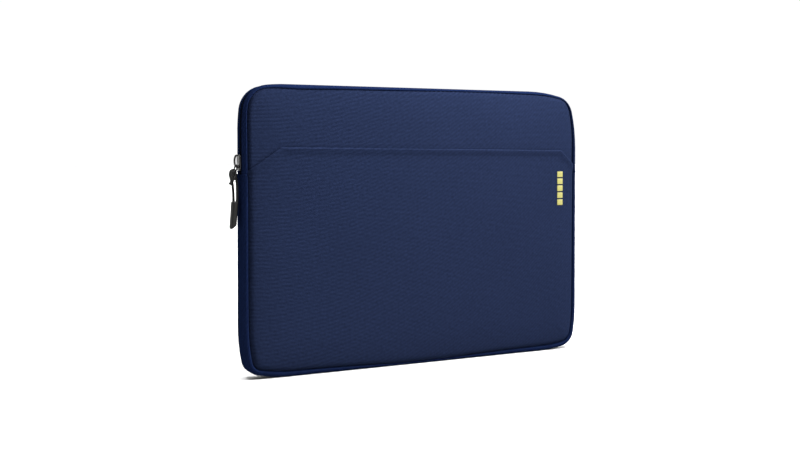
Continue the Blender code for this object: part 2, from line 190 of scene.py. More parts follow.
class Finish:
    """A Principled material and short calls that add nodes to it."""

    def __init__(self, name, colour, roughness, metallic=0.0):
        self.material = bpy.data.materials.new(name)
        self.material.use_nodes = True
        self.tree = self.material.node_tree
        self.shader = self.tree.nodes["Principled BSDF"]
        self.set("Base Color", (*colour, 1))
        self.set("Roughness", roughness)
        self.set("Metallic", metallic)

    def set(self, socket, value):
        self.put(self.shader.inputs[socket], value)

    def node(self, kind, **values):
        made = self.tree.nodes.new(kind)
        for name, value in values.items():
            if name in made.inputs:
                self.put(made.inputs[name], value)
            else:
                setattr(made, name, value)
        return made

    def put(self, socket, value):
        if isinstance(value, bpy.types.NodeSocket):
            self.tree.links.new(value, socket)
        else:
            socket.default_value = value

    def math(self, operation, first, second=0.0):
        """A multiply-add adds the node's own third value, 0.5."""
        made = self.node("ShaderNodeMath", operation=operation)
        self.put(made.inputs[0], first)
        self.put(made.inputs[1], second)
        return made.outputs[0]

    def waves(self, value, pitch):
        """A sine between 0 and 1 along a length in metres."""
        angle = self.math("MULTIPLY", value, 2 * math.pi / pitch)
        return self.math("MULTIPLY_ADD", self.math("SINE", angle), 0.5)

    def stretched(self, vector, scale):
        return self.node("ShaderNodeMapping", Vector=vector, Scale=scale).outputs["Vector"]

    def noise(self, vector, scale, detail=2.0):
        """Noise with its own scale, per metre, along each axis."""
        scaled = self.stretched(vector, scale)
        return self.node("ShaderNodeTexNoise", Vector=scaled, Scale=1.0, Detail=detail).outputs["Fac"]

    def grain(self, scale, detail=2.0):
        """Noise that is fixed in the piece's own space."""
        return self.noise(self.node("ShaderNodeTexCoord").outputs["Object"], scale, detail)

    def ramp(self, value, low, high):
        """Maps 0..1 to the range low..high."""
        made = self.node("ShaderNodeMapRange", Value=value, **{"To Min": low, "To Max": high})
        return made.outputs["Result"]

    def tinted(self, colour, factor):
        """The colour times a factor that varies over the surface, into Base Color."""
        grey = self.node("ShaderNodeCombineColor", Red=factor, Green=factor, Blue=factor)
        made = self.node("ShaderNodeMix", data_type="RGBA", blend_type="MULTIPLY", Factor=1.0)
        self.put(made.inputs[6], (*colour, 1))
        self.put(made.inputs[7], grey.outputs["Color"])
        self.set("Base Color", made.outputs[2])

    def bump(self, height, distance):
        made = self.node("ShaderNodeBump", Height=height, Distance=distance, Strength=1.0)
        self.set("Normal", made.outputs["Normal"])

    def weave_uv(self):
        return self.node("ShaderNodeUVMap", uv_map="weave").outputs["UV"]

    def weave_axes(self):
        """The weave UVs, which are in metres, as two values."""
        split = self.node("ShaderNodeSeparateXYZ", Vector=self.weave_uv())
        return split.outputs["X"], split.outputs["Y"]


RIB_PITCH = 1.15 * MM
YARN_PITCH = 0.6 * MM
WEAVE_RELIEF = 0.16 * MM
RIB_START = 170 * MM  # the ribs run level at the left end and rise more and more to the right
RIB_BEND = 330 * MM
RIB_SHADE = 3.3 * MM  # darker and lighter ribs alternate over this
RIB_WANDER = 5 * MM


def woven(name, colour):
    """A plain weave with a crosswise rib."""
    made = Finish(name, colour, 0.82)
    uv = made.weave_uv()
    along, across = made.weave_axes()
    ribs = made.waves(across, RIB_PITCH)
    yarns = made.waves(along, YARN_PITCH)
    weave = made.math("MULTIPLY", ribs, made.math("MULTIPLY_ADD", yarns, 0.45))
    bent = made.math("POWER", made.math("ADD", along, RIB_START), 2.0)
    drift = made.math("MULTIPLY", bent, -0.5 / RIB_BEND)
    wander = made.math("MULTIPLY", made.noise(uv, (22, 22, 1)), RIB_WANDER)
    level = made.math("ADD", made.math("ADD", across, drift), wander)
    streaks = made.waves(level, RIB_SHADE)
    patches = made.noise(uv, (14, 14, 1))
    specks = made.noise(uv, (420, 420, 1), 1.0)
    tone = made.ramp(streaks, 0.91, 1.09)
    for part, low, high in ((patches, 0.93, 1.07), (specks, 0.70, 1.30), (weave, 0.86, 1.12)):
        tone = made.math("MULTIPLY", tone, made.ramp(part, low, high))
    made.tinted(colour, tone)
    made.bump(weave, WEAVE_RELIEF)
    made.set("Specular IOR Level", 0.0)
    return made.material


def plush(name, colour):
    """A short soft pile."""
    made = Finish(name, colour, 0.95)
    uv = made.weave_uv()
    pile = made.noise(uv, (900, 900, 1), 3.0)
    brushed = made.noise(uv, (25, 60, 1))
    tone = made.math("MULTIPLY", made.ramp(pile, 0.7, 1.3), made.ramp(brushed, 0.82, 1.18))
    made.tinted(colour, tone)
    made.bump(pile, 0.5 * MM)
    made.set("Sheen Weight", 0.5)
    made.set("Sheen Roughness", 0.35)
    made.set("Specular IOR Level", 0.1)
    return made.material


def foam(name, colour):
    """Open cells."""
    made = Finish(name, colour, 0.95)
    scaled = made.stretched(made.weave_uv(), (900, 900, 1))
    cells = made.node("ShaderNodeTexVoronoi", Vector=scaled, Scale=1.0)
    made.tinted(colour, made.ramp(cells.outputs["Distance"], 0.75, 1.1))
    made.bump(cells.outputs["Distance"], 0.3 * MM)
    return made.material


def tape_weave(name, colour):
    """A zip tape or binding: a fine herringbone."""
    made = Finish(name, colour, 0.85)
    along, across = made.weave_axes()
    zigzag = made.math("PINGPONG", across, 0.9 * MM)
    slanted = made.math("ADD", along, zigzag)
    twill = made.waves(slanted, 0.55 * MM)
    made.tinted(colour, made.ramp(twill, 0.75, 1.2))
    made.bump(twill, 0.08 * MM)
    made.set("Specular IOR Level", 0.0)
    return made.material


def nylon(name, colour):
    """Dull dyed plastic."""
    made = Finish(name, colour, 0.5)
    made.set("Specular IOR Level", 0.0)
    grain = made.grain((900, 900, 900))
    made.tinted(colour, made.ramp(grain, 0.85, 1.15))
    made.bump(grain, 0.03 * MM)
    return made.material


def plated_metal(name, colour, roughness):
    """Dark plated zinc with faint polishing marks and brighter worn patches."""
    made = Finish(name, colour, roughness, 0.35)
    marks = made.grain((500, 2500, 300), 3.0)
    wear = made.grain((260, 260, 260), 3.0)
    made.tinted(colour, made.ramp(wear, 0.6, 1.6))
    made.set("Roughness", made.ramp(marks, roughness * 0.75, roughness * 1.35))
    made.bump(marks, 0.02 * MM)
    return made.material


def braid(name, colour):
    """Braided cord: two sets of strands crossing round the tube. U runs along it, V round it."""
    made = Finish(name, colour, 0.7)
    along, around = made.weave_axes()
    left = made.waves(made.math("ADD", along, around), 0.75 * MM)
    right = made.waves(made.math("SUBTRACT", along, around), 0.75 * MM)
    strands = made.math("MAXIMUM", left, right)
    made.tinted(colour, made.ramp(strands, 0.45, 1.5))
    made.bump(strands, 0.12 * MM)
    made.set("Specular IOR Level", 0.15)
    return made.material


def moulded(name, colour, roughness):
    """Rubber with a fine grain and faint smudges."""
    made = Finish(name, colour, roughness)
    grain = made.grain((1600, 1600, 1600), 3.0)
    smudge = made.grain((120, 120, 120))
    made.tinted(colour, made.ramp(smudge, 0.8, 1.25))
    made.set("Roughness", made.ramp(smudge, roughness * 0.85, roughness * 1.2))
    made.bump(grain, 0.04 * MM)
    made.set("Specular IOR Level", 0.2)
    return made.material


def printed(name, colour):
    """A thick print that takes a little of the cloth's grain."""
    made = Finish(name, colour, 0.55)
    grain = made.grain((700, 700, 1400))
    made.tinted(colour, made.ramp(grain, 0.88, 1.06))
    made.bump(grain, 0.05 * MM)
    return made.material


def make_materials():
    return {
        "navy_fabric": woven("navy_weave", (0.0058, 0.0089, 0.0222)),
        # The gusset and zip strips get a darker, bluer navy than the panels: partly a darker cloth, partly
        # painted shade, since their sides face away from the light.
        "navy_fabric_edge": woven("navy_edge_weave", (0.0032, 0.0062, 0.0215)),
        "plush_lining": plush("plush_pile", (0.06, 0.065, 0.085)),
        "grey_foam": foam("foam_cells", (0.22, 0.22, 0.23)),
        "binding_tape": tape_weave("binding_weave", (0.02, 0.022, 0.03)),
        "zip_tape": tape_weave("zip_tape_weave", (0.004, 0.005, 0.011)),
        "zip_coil": nylon("coil_nylon", (0.002, 0.003, 0.007)),
        "gunmetal": plated_metal("gunmetal_plate", (0.006, 0.006, 0.0066), 0.2),
        "black_cord": braid("cord_braid", (0.004, 0.004, 0.0042)),
        "moulded_grip": moulded("grip_rubber", (0.0012, 0.0012, 0.0012), 0.6),
        "yellow_print": printed("yellow_film", (0.135, 0.125, 0.022)),
        "seam_thread": tape_weave("thread", (0.0015, 0.002, 0.005)),
    }


# ---- making pieces

def piece(name, bm, slot, smooth=35):
    """Makes a bmesh into a finished piece of the record's material slot."""
    mesh = bpy.data.meshes.new(name)
    bmesh.ops.recalc_face_normals(bm, faces=bm.faces)
    bm.to_mesh(mesh)
    bm.free()
    obj = add_object(name, mesh)
    mesh.materials.append(MATERIALS[slot])
    mesh.shade_smooth()
    mesh.set_sharp_from_angle(angle=math.radians(smooth))
    return obj


def thicken(obj, thickness, offset=-1.0):
    """Gives a sheet its thickness, as a mesh that is final."""
    solid = obj.modifiers.new("thickness", "SOLIDIFY")
    solid.thickness = thickness
    solid.offset = offset
    solid.use_even_offset = False
    bpy.context.view_layer.update()
    graph = bpy.context.evaluated_depsgraph_get()
    made = bpy.data.meshes.new_from_object(obj.evaluated_get(graph))
    obj.modifiers.clear()
    obj.data = made
    return obj


def folding(obj, *nodes):
    """Bakes the piece's placement into its mesh, with no parent, and hides these nodes in its place."""
    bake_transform(obj)
    if nodes:
        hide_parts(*nodes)
    return obj


def riding(obj, body, *nodes):
    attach(obj, body)
    if nodes:
        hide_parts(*nodes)
    return obj


def on_side(obj, side, *nodes):
    """The front (side -1) goes through folding, with no parent, and the back (side 1) rides with the shell.
    """
    if side < 0:
        return folding(obj, *nodes)
    return riding(obj, "shell", *nodes)


# ---- paths round the sleeve's edge

def corner(side, end):
    """Stations round one corner, from the long edge to the side: (x, z, outward x, outward z)."""
    lead, radius = CORNERS[side, end]
    lead = math.radians(lead)
    half_turn = math.pi / 2
    arcs = (
        (LEAD_RADIUS, 0.0, lead, LEAD_STEPS),
        (radius, lead, half_turn - lead, MAIN_STEPS),
        (LEAD_RADIUS, half_turn - lead, half_turn, LEAD_STEPS),
    )
    along, drop = 0.0, 0.0
    spots = [(0.0, 0.0, 0.0)]
    for arc_radius, first, last, steps in arcs:
        for step in range(1, steps + 1):
            angle = first + (last - first) * step / steps
            reach = along + arc_radius * (math.sin(angle) - math.sin(first))
            spots.append((reach, drop + arc_radius * (math.cos(first) - math.cos(angle)), angle))
        along, drop = spots[-1][:2]
    stations = []
    for reach, fall, angle in spots:
        x = side * (WIDTH / 2 - along + reach)
        z = HEIGHT - fall if end > 0 else fall
        stations.append((x, z, side * math.sin(angle), end * math.cos(angle)))
    return stations


def filled(stations):
    """Adds stations along the straight stretches, so that no step is long."""
    made = stations[:1]
    for before, after in zip(stations, stations[1:]):
        count = max(1, round(math.dist(before[:2], after[:2]) / STRAIGHT_STEP))
        for step in range(1, count + 1):
            made.append(tuple(a + (b - a) * step / count for a, b in zip(before, after)))
    return made


def path_past(end, z):
    """From the left side at z, over the top (end 1) or under the bottom (end -1), to the right side."""
    left, right = (-WIDTH / 2, z, -1.0, 0.0), (WIDTH / 2, z, 1.0, 0.0)
    return filled([left] + corner(-1, end)[::-1] + corner(1, end) + [right])


def path_round():
    return path_past(1, MOUTH_Z)[:-1] + path_past(-1, MOUTH_Z)[:0:-1]


def edge_point(station, y, inset):
    x, z, out_x, out_z = station
    return Vector((x - inset * out_x, y, z - inset * out_z))


def lengths_along(points):
    total = [0.0]
    for a, b in zip(points, points[1:]):
        total.append(total[-1] + (b - a).length)
    return total


OUTLINE = np.array(path_round())


def rim_distance(x, z):
    """How far a point is in from the overall outline."""
    return float((OUTLINE[:, 2] * (OUTLINE[:, 0] - x) + OUTLINE[:, 3] * (OUTLINE[:, 1] - z)).min())


def seam_inset(x, z):
    bearing = math.degrees(math.atan2(z - HEIGHT / 2, x))
    return float(np.interp(bearing, SEAM_BEARINGS, SEAM_INSETS, period=360)) * MM


def seam_distance(x, z):
    """How far a point is in from the seam round the panel."""
    return rim_distance(x, z) - seam_inset(x, z)


def groove_depth(x, z):
    """How far out the bottom of the groove is at the seam."""
    near_top = ease((z - HEIGHT + 16 * MM) / (10 * MM))
    return GROOVE + (TOP_GROOVE - GROOVE) * near_top


def skin(bm, rings):
    """Joins rings of vertices into a closed rod."""
    for ring, after in zip(rings, rings[1:]):
        for k in range(len(ring)):
            j = (k + 1) % len(ring)
            bm.faces.new((ring[k], ring[j], after[j], after[k]))
    bm.faces.new(rings[0])
    bm.faces.new(rings[-1])


def squared(value, power):
    """A sine or cosine drawn towards 1 or -1, which turns a circle into a rounded square."""
    return math.copysign(abs(value) ** power, value)


def band(name, slot, stations, section, closed_path=False, closed_section=False):
    """A section of (y, inset) points carried round the edge, with weave UVs in metres. The section is a
    list, or a function of the station and of how far along the path it is."""
    bm = bmesh.new()
    uv_layer = bm.loops.layers.uv.new("weave")
    along = lengths_along([edge_point(station, 0, 0) for station in stations])
    rings = []
    for index, station in enumerate(stations):
        points = section(station, along[index], along[-1]) if callable(section) else section
        if index == 0:
            across = lengths_along([Vector(p) for p in points])
        rings.append([bm.verts.new(edge_point(station, y, inset)) for y, inset in points])
    count = len(rings[0])
    ring_pairs = len(rings) if closed_path else len(rings) - 1
    point_pairs = count if closed_section else count - 1
    for i in range(ring_pairs):
        for j in range(point_pairs):
            after_i, after_j = (i + 1) % len(rings), (j + 1) % count
            face = bm.faces.new((rings[i][j], rings[i][after_j], rings[after_i][after_j], rings[after_i][j]))
            end_u = along[after_i] if after_i else along[-1] + STRAIGHT_STEP
            end_v = across[after_j] if after_j else across[-1] + MM
            corners = ((along[i], across[j]), (along[i], end_v), (end_u, end_v), (end_u, across[j]))
            for loop, uv in zip(face.loops, corners):
                loop[uv_layer].uv = uv
    return piece(name, bm, slot)


# ---- sheets over a panel

EDGE_RINGS = (-0.2, 0.15, 0.45, 0.9, 1.4, 2.0, 2.8, 3.8, 5.2, 7.0, 9.2, 12.0, 15.5)  # mm in from the edge
GRID_STEP = 4 * MM
MARGIN = 29 * MM  # the square grid stops this far in from the outline
FAN_STEPS = 14


def spokes_from(grid):
    """Each vertex on the grid's border with the direction its spoke takes: (vertex, x, z)."""
    rows, columns = len(grid) - 1, len(grid[0]) - 1
    sides = (
        ([grid[row][columns] for row in range(rows)], 0),
        ([grid[rows][columns - k] for k in range(columns)], 90),
        ([grid[rows - k][0] for k in range(rows)], 180),
        ([grid[0][k] for k in range(columns)], 270),
    )
    spokes = []
    for vertices, degrees in sides:
        fan_base = vertices[0]
        for k in range(FAN_STEPS):
            angle = math.radians(degrees - 90 + 90 * k / FAN_STEPS)
            spokes.append((fan_base, math.cos(angle), math.sin(angle)))
        angle = math.radians(degrees)
        spokes += [(vertex, math.cos(angle), math.sin(angle)) for vertex in vertices]
    return spokes


def spot_on_spoke(base, away_x, away_z, inset):
    """The point on a spoke at the inset from the outline."""
    facing = OUTLINE[:, 2] * away_x + OUTLINE[:, 3] * away_z
    gap = OUTLINE[:, 2] * (OUTLINE[:, 0] - base.co.x) + OUTLINE[:, 3] * (OUTLINE[:, 1] - base.co.z)
    reaches = np.where(facing > 0.05, (gap - inset) / np.maximum(facing, 0.05), np.inf)
    reach = float(reaches.min())
    return base.co.x + away_x * reach, base.co.z + away_z * reach


def panel_sheet(edge, depth):
    """A bmesh over the sleeve's outline, brought in by edge(x, z): a grid in the middle, with rings that
    follow the edge. depth(x, z) gives y."""
    bm = bmesh.new()
    left, right, low, high = -WIDTH / 2 + MARGIN, WIDTH / 2 - MARGIN, MARGIN, HEIGHT - MARGIN
    columns, rows = round((right - left) / GRID_STEP), round((high - low) / GRID_STEP)
    grid = []
    for row in range(rows + 1):
        z = low + (high - low) * row / rows
        xs = [left + (right - left) * column / columns for column in range(columns + 1)]
        grid.append([bm.verts.new((x, depth(x, z), z)) for x in xs])
    for below, above in zip(grid, grid[1:]):
        for column in range(columns):
            bm.faces.new((below[column], below[column + 1], above[column + 1], above[column]))
    spokes = []
    for base, away_x, away_z in spokes_from(grid):
        x, z = spot_on_spoke(base, away_x, away_z, 0.0)
        start = edge(x, z)
        spoke = [base]
        for ring in reversed(EDGE_RINGS):
            x, z = spot_on_spoke(base, away_x, away_z, start + ring * MM)
            spoke.append(bm.verts.new((x, depth(x, z), z)))
        spokes.append(spoke)
    for spoke, after in zip(spokes, spokes[1:] + spokes[:1]):
        for k in range(len(spoke) - 1):
            corners = [spoke[k], spoke[k + 1], after[k + 1], after[k]]
            if corners[0] is corners[3]:
                corners.pop()
            bm.faces.new(corners)
    flat_uvs(bm)
    return bm


def flat_uvs(bm):
    """Weave UVs for a sheet in the X-Z plane, in metres."""
    layer = bm.loops.layers.uv.get("weave") or bm.loops.layers.uv.new("weave")
    for face in bm.faces:
        for loop in face.loops:
            loop[layer].uv = (loop.vert.co.x, loop.vert.co.z)


def swell(t):
    """A rounded rise from 0 at t = 0 to 1 at t = 1."""
    t = min(max(t, 0.0), 1.0)
    return math.sqrt(1 - (1 - t) ** 2)


def quarter_wave(t):
    """A rise from 0 to 1 that starts steep and levels out."""
    return math.sin(math.pi / 2 * min(max(t, 0.0), 1.0))


def ease(t):
    t = min(max(t, 0.0), 1.0)
    return t * t * (3 - 2 * t)


def ripple(x, z, pitch):
    """Slow unevenness between -1 and 1, the same each run."""
    return noise.noise(Vector((x / pitch, z / pitch, 0.37)))


COVER_CLOTH = 0.8 * MM
THIN_CLOTH = 0.7 * MM
PLUSH_CLOTH = 0.6 * MM
PAD_FOAM = 1.9 * MM
SHOULDER = (9.1 * MM, 3.6 * MM)  # how far out the cover's shoulder is, and how far in from the seam
PILLOW = (2.3 * MM, 26 * MM)  # how much further the padding pushes it, over how far
BELLY = (0.3 * MM, 80 * MM)
UNEVEN = (0.2 * MM, 25 * MM)
UNEVEN_PITCH = 42 * MM
PAD_INSET = 6.9 * MM
PAD_OUT = (7.2 * MM, 0.8 * MM, 12 * MM)  # how far out at its edge, how much more inside, and over how far
LINING_INSET = 5.3 * MM
LINING_OUT = (5.1 * MM, -0.2 * MM, 30 * MM)
LINING_UNEVEN = 0.1 * MM


def padded_face(x, z):
    """How far out a padded panel's surface is."""
    inside = seam_distance(x, z)
    groove = groove_depth(x, z)
    out = groove + (SHOULDER[0] - groove) * quarter_wave(inside / SHOULDER[1])
    out += PILLOW[0] * quarter_wave(inside / PILLOW[1])
    out += BELLY[0] * ease(inside / BELLY[1])
    return out + UNEVEN[0] * ripple(x, z, UNEVEN_PITCH) * ease(inside / UNEVEN[1])


def pad_face(x, z):
    """How far out the foam's surface is, under the cover."""
    edge, rise, reach = PAD_OUT
    return edge + rise * swell((rim_distance(x, z) - PAD_INSET) / reach)


def lining_face(x, z):
    """How far out the plush lining is."""
    edge, rise, reach = LINING_OUT
    inside = rim_distance(x, z) - LINING_INSET
    return edge + rise * ease(inside / reach) + LINING_UNEVEN * ripple(x, z, reach)


def panel_layer(name, side, slot, edge, face, thickness, nodes):
    """One layer of a panel, on the front or the back."""
    obj = piece(name, panel_sheet(edge, lambda x, z: side * face(x, z)), slot)
    return on_side(thicken(obj, thickness), side, *nodes)


def panels():
    for name, side, split in (("front", -1, ("_lower", "_upper")), ("back", 1, ("",))):
        cover = panel_layer(
            f"{name}_cover", side, "navy_fabric", seam_inset, padded_face, COVER_CLOTH,
            [f"{name}_panel{end}" for end in split],
        )
        pad = panel_layer(
            f"{name}_pad", side, "grey_foam", lambda x, z: PAD_INSET, pad_face, PAD_FOAM,
            [f"{name}_foam{end}" for end in split],
        )
        plush_sheet = panel_layer(
            f"{name}_plush", side, "plush_lining", lambda x, z: LINING_INSET, lining_face, PLUSH_CLOTH,
            [f"{name}_lining{end}" for end in split],
        )


# ---- pocket

# The mouth runs from the left seam through two corners to the right seam, as points (x, z)
POCKET_MOUTH = (
    Vector((-165.8 * MM, 174.6 * MM)),
    Vector((-138.5 * MM, 193.8 * MM)),
    Vector((148.0 * MM, 191.5 * MM)),
    Vector((165.8 * MM, 177.0 * MM)),
)
HEM_ROLL = 1.5 * MM  # the mouth's folded edge rounds over this far
HEM_RISE = 1.6 * MM  # the hem is thicker than the rest
HEM_WIDTH = 8 * MM
HEM_CUTS = (0.08, 0.2, 0.4, 0.65, 0.95, 1.3, 1.9, 3.0, 4.5, 6.2, 8.0)  # mm in from the mouth
POCKET_LIFT = (1.2 * MM, 1.8 * MM, 7 * MM)  # off the panel at the seam, further in, and over how far


def mouth_lines():
    """The pocket's mouth as lines (point, outward normal) in the X-Z plane."""
    lines = []
    for start, end in zip(POCKET_MOUTH, POCKET_MOUTH[1:]):
        lines.append((start, Vector((start.y - end.y, end.x - start.x)).normalized()))
    return lines


def mouth_depth(x, z):
    """How far a point is inside the pocket's mouth."""
    spot = Vector((x, z))
    return min((point - spot).dot(normal) for point, normal in mouth_lines())


def pocket_face(x, z):
    """How far out the pocket's surface is: over the panel, with a hem that rounds over at the mouth."""
    at_seam, inside, reach = POCKET_LIFT
    lift = at_seam + (inside - at_seam) * ease(seam_distance(x, z) / reach)
    depth = max(mouth_depth(x, z), 0.0)
    hem = HEM_RISE * (1 - ease(depth / HEM_WIDTH))
    roll = 1 - min(depth / HEM_ROLL, 1.0)
    return padded_face(x, z) + lift + hem - HEM_ROLL * (1 - math.sqrt(max(1 - roll ** 2, 0)))


def cut(bm, point, normal, clear=False):
    """Cuts a sheet along a line in the X-Z plane, and may take away what is outside it."""
    return bmesh.ops.bisect_plane(
        bm, geom=list(bm.verts) + list(bm.edges) + list(bm.faces), clear_outer=clear, dist=1e-6,
        plane_co=(point[0], 0, point[1]), plane_no=(normal[0], 0, normal[1]),
    )


def pocket():
    """The pocket's sheet, cut to its mouth and then in two where the lip begins to bend out."""
    bm = panel_sheet(seam_inset, lambda x, z: 0.0)
    for point, normal in mouth_lines():
        cut(bm, point, normal, clear=True)
    for depth in HEM_CUTS:
        for point, normal in mouth_lines():
            cut(bm, point - normal * depth * MM, normal)
    cut(bm, (0, LIP_Z), (0, 1))
    for vert in bm.verts:
        x, _, z = vert.co
        vert.co.y = -pocket_face(x, z)
    flat_uvs(bm)
    whole = thicken(piece("pocket_whole", bm, "navy_fabric"), THIN_CLOTH)
    body = split_at(whole, "pocket_cover", LIP_Z, keep_low=True)
    lip = split_at(whole, "pocket_lip_cover", LIP_Z, keep_low=False)
    bpy.data.objects.remove(whole, do_unlink=True)
    folding(body, "pocket_panel_lower", "pocket_panel_upper")
    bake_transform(lip)
    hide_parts("pocket_lip")


def split_at(obj, name, z, keep_low):
    """A copy of the piece's mesh, closed, with only what is below or above z."""
    bm = bmesh.new()
    bm.from_mesh(obj.data)
    made = cut(bm, (0, z), (0, 1 if keep_low else -1), clear=True)
    cut_edges = [item for item in made["geom_cut"] if isinstance(item, bmesh.types.BMEdge)]
    bmesh.ops.holes_fill(bm, edges=cut_edges, sides=0)
    return piece(name, bm, "navy_fabric")


MARK_BARS = 5
MARK_GAP = 1.3 * MM
MARK_PRINT = 0.38 * MM  # how far the print stands off the cloth


def mark():
    """A plain printed mark: a column of short bars."""
    low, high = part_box("pocket_mark")
    bm = bmesh.new()
    length = (high.z - low.z - MARK_GAP * (MARK_BARS - 1)) / MARK_BARS
    for number in range(MARK_BARS):
        bottom = low.z + number * (length + MARK_GAP)
        made = bmesh.ops.create_cube(bm, size=1.0)
        for vert in made["verts"]:
            vert.co.x = (low.x + high.x) / 2 + vert.co.x * (high.x - low.x)
            vert.co.y *= 2 * MARK_PRINT
            vert.co.z = bottom + (vert.co.z + 0.5) * length
    bmesh.ops.bevel(bm, geom=list(bm.edges), offset=0.1 * MM, segments=2, affect="EDGES", profile=0.5)
    long_edges = [edge for edge in bm.edges if edge.calc_length() > MM]
    bmesh.ops.subdivide_edges(bm, edges=long_edges, cuts=3, use_grid_fill=True)
    for vert in bm.verts:
        vert.co.y -= pocket_face(vert.co.x, vert.co.z)
    folding(piece("pocket_mark_print", bm, "yellow_print"), "pocket_mark")


# ---- gusset and zip

RIM_STEPS = 9
ROLL_STEPS = 6


def rim_section(start, x, z):
    """Half the gusset's section, from y = start out to the seam: points (y, inset)."""
    seam, groove = seam_inset(x, z), groove_depth(x, z)
    turned = math.acos(1 - min(seam - ROLL, RIM_DEPTH) / RIM_DEPTH)
    points = [(start, 0.0), ((start + RIM_FLAT) / 2, 0.0)]
    for k in range(RIM_STEPS + 1):
        angle = turned * k / RIM_STEPS
        points.append((RIM_FLAT + (FACE - RIM_FLAT) * math.sin(angle), RIM_DEPTH * (1 - math.cos(angle))))
    y, inset = points[-1]
    for k in range(1, ROLL_STEPS + 1):
        angle = math.pi / 2 * k / ROLL_STEPS
        points.append((y - (y - groove) * (1 - math.cos(angle)), inset + (seam - inset) * math.sin(angle)))
    return points


PUCKER = 0.12 * MM
PUCKER_PITCH = 7 * MM


def pucker(along, y):
    """Small gathers beside the seams, different on the two sides: how far in the fabric is drawn."""
    near_seam = ease((abs(y) - 5 * MM) / (4 * MM))
    return PUCKER * near_seam * noise.noise(Vector((along / PUCKER_PITCH, 3.1 if y > 0 else 8.4, 0)))


GUSSET_HEM = 2.2 * MM
HEM_PROUD = 0.55 * MM
HEM_EDGE = 0.3 * MM  # the hem's last ring turns in by this much
END_LEVELS = (0.0, 0.3, 0.8, 1.5)  # mm below the mouth: closer rings for the hem
BELOW_HEM = 2.4 * MM
INNER_BAND = np.linspace(-4.8, 4.8, 9)
GUSSET_PAD_INSET = 3.0 * MM
GUSSET_PLUSH_INSET = 3.4 * MM
THIN_PLUSH = 0.5 * MM


def gusset_section(station, along, length):
    half = rim_section(0.0, station[0], station[1])
    near_end = min(along, length - along)
    raised = HEM_PROUD * swell(1 - near_end / GUSSET_HEM)
    if near_end < END_LEVELS[1] * MM / 2:
        raised -= HEM_EDGE
    points = [(-y, inset) for y, inset in reversed(half[1:])] + half
    return [(y, inset + pucker(along, y) - raised) for y, inset in points]


def gusset():
    """The band round the sides and bottom, with its foam and lining."""
    left, right = (
        [(side * WIDTH / 2, MOUTH_Z - level * MM, side, 0.0) for level in END_LEVELS] for side in (-1.0, 1.0)
    )
    stations = left + path_past(-1, MOUTH_Z - BELOW_HEM) + right[::-1]
    cover = band("gusset_cover", "navy_fabric_edge", stations, gusset_section)
    folding(thicken(cover, THIN_CLOTH), "gusset_lower")
    stations = path_past(-1, MOUTH_Z - MM)
    pad = band("gusset_pad", "grey_foam", stations, [(y * MM, GUSSET_PAD_INSET) for y in INNER_BAND])
    riding(thicken(pad, 1.6 * MM, 1.0), "shell", "gusset_foam")
    section = [(y * MM, GUSSET_PLUSH_INSET) for y in INNER_BAND]
    soft = band("gusset_plush", "plush_lining", stations, section)
    riding(thicken(soft, THIN_PLUSH), "shell", "gusset_lining")


BACK_STEP = 0.8 * MM  # the back zip strip sits further in at the slot
STRIP_FOLD = (0.5 * MM, 0.55 * MM)  # the folded edge's half width and half height
STRIP_START = 1.6 * MM  # the strips reach this far below the fold
TAPE_ACROSS = np.linspace(0.7, 6.8, 8)
TAPE_INSET = 2.3 * MM
TAPE_CLOTH = 0.45 * MM
STRIP_PLUSH_ACROSS = np.linspace(2.8, 4.9, 5)
STRIP_PLUSH_INSET = 4.4 * MM


def strip_section(side):
    """The section of a zip strip, from its folded edge at the slot out to the seam."""
    def section(station, along, length):
        fold = []
        for angle in (-0.9, -0.3, 0.3, 0.9):
            y = SLOT_HALF + STRIP_FOLD[0] * (1 - math.cos(angle))
            fold.append((y, STRIP_FOLD[1] * (1 - math.sin(angle))))
        points = fold + rim_section(SLOT_HALF + 0.7 * MM, station[0], station[1])
        made = []
        for y, inset in points:
            step_in = BACK_STEP * (1 - ease((y - RIM_FLAT) / (3 * MM))) if side > 0 else 0.0
            made.append((side * y, inset + step_in + pucker(along, y)))
        return made
    return section


def zip_half(side):
    """One zip strip with its tape, lining and teeth."""
    name = "front" if side < 0 else "back"
    stations = path_past(1, MOUTH_Z - STRIP_START)
    strip = band(f"{name}_strip_cover", "navy_fabric_edge", stations, strip_section(side))
    thicken(strip, THIN_CLOTH)
    section = [(side * y * MM, TAPE_INSET) for y in TAPE_ACROSS]
    tape = thicken(band(f"{name}_tape_cover", "zip_tape", stations, section), TAPE_CLOTH)
    section = [(side * y * MM, STRIP_PLUSH_INSET) for y in STRIP_PLUSH_ACROSS]
    soft = thicken(band(f"{name}_strip_plush", "plush_lining", stations, section), THIN_PLUSH)
    teeth = zip_teeth(f"{name}_teeth", side)
    for obj, node in (
        (strip, f"{name}_zip_strip"), (tape, f"{name}_zip_tape"),
        (soft, f"{name}_strip_lining"), (teeth, f"{name}_zip_coil"),
    ):
        on_side(obj, side, node)


def walk(stations, pitch, y, inset):
    """Evenly spaced places along a path: (point, direction along it, outward direction). y and inset are
    functions of the station."""
    points = [edge_point(s, y(s), inset(s)) for s in stations]
    outs = [Vector((s[2], 0, s[3])) for s in stations]
    total = lengths_along(points)
    places = []
    index = 0
    distance = pitch / 2
    while distance < total[-1]:
        while total[index + 1] < distance:
            index += 1
        share = (distance - total[index]) / (total[index + 1] - total[index])
        direction = (points[index + 1] - points[index]).normalized()
        out = outs[index].lerp(outs[index + 1], share).normalized()
        places.append((points[index].lerp(points[index + 1], share), direction, out))
        distance += pitch
    return places


def add_rod(bm, rings, sides):
    """A rod through rings, each given as (centre, across, over, radius across, radius over)."""
    made = []
    for centre, across, over, radius_across, radius_over in rings:
        ring = []
        for k in range(sides):
            angle = 2 * math.pi * k / sides
            offset = across * math.cos(angle) * radius_across + over * math.sin(angle) * radius_over
            ring.append(bm.verts.new(centre + offset))
        made.append(ring)
    skin(bm, made)


